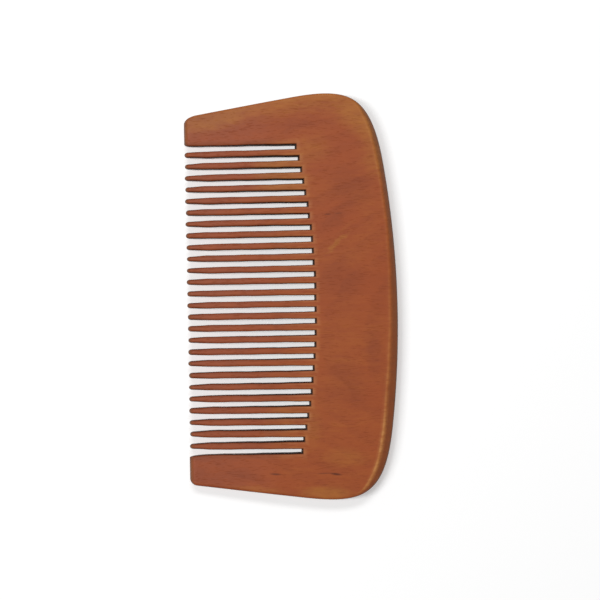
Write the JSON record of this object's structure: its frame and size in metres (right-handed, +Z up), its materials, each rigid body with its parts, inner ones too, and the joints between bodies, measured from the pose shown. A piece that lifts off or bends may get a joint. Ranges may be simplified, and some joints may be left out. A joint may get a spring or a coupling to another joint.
{
  "type": "wooden pocket comb",
  "caption": "One-piece wooden hair comb lying flat, with a bowed bevelled spine, wide end guards and a row of square-ended sawn teeth.",
  "frame": {"origin": "under the middle of the comb's box, on the plane of its lower face", "axes": "+Y along the comb's length towards the head end, +Z up through its thickness, and the teeth point along -X, with the spine towards +X"},
  "size_m": [0.057, 0.1098, 0.006],
  "materials": {
    "wood": "reddish brown, oiled and lightly polished"
  },
  "bodies": {
    "root": {"spine": "wood", "end_guard_head": "wood", "end_guard_foot": "wood", "tooth_01": "wood", "tooth_02": "wood", "tooth_03": "wood", "tooth_04": "wood", "tooth_05": "wood", "tooth_06": "wood", "tooth_07": "wood", "tooth_08": "wood", "tooth_09": "wood", "tooth_10": "wood", "tooth_11": "wood", "tooth_12": "wood", "tooth_13": "wood", "tooth_14": "wood", "tooth_15": "wood", "tooth_16": "wood", "tooth_17": "wood", "tooth_18": "wood", "tooth_19": "wood", "tooth_20": "wood", "tooth_21": "wood", "tooth_22": "wood", "tooth_23": "wood", "tooth_24": "wood", "tooth_25": "wood", "tooth_26": "wood"}
  },
  "joints": []
}
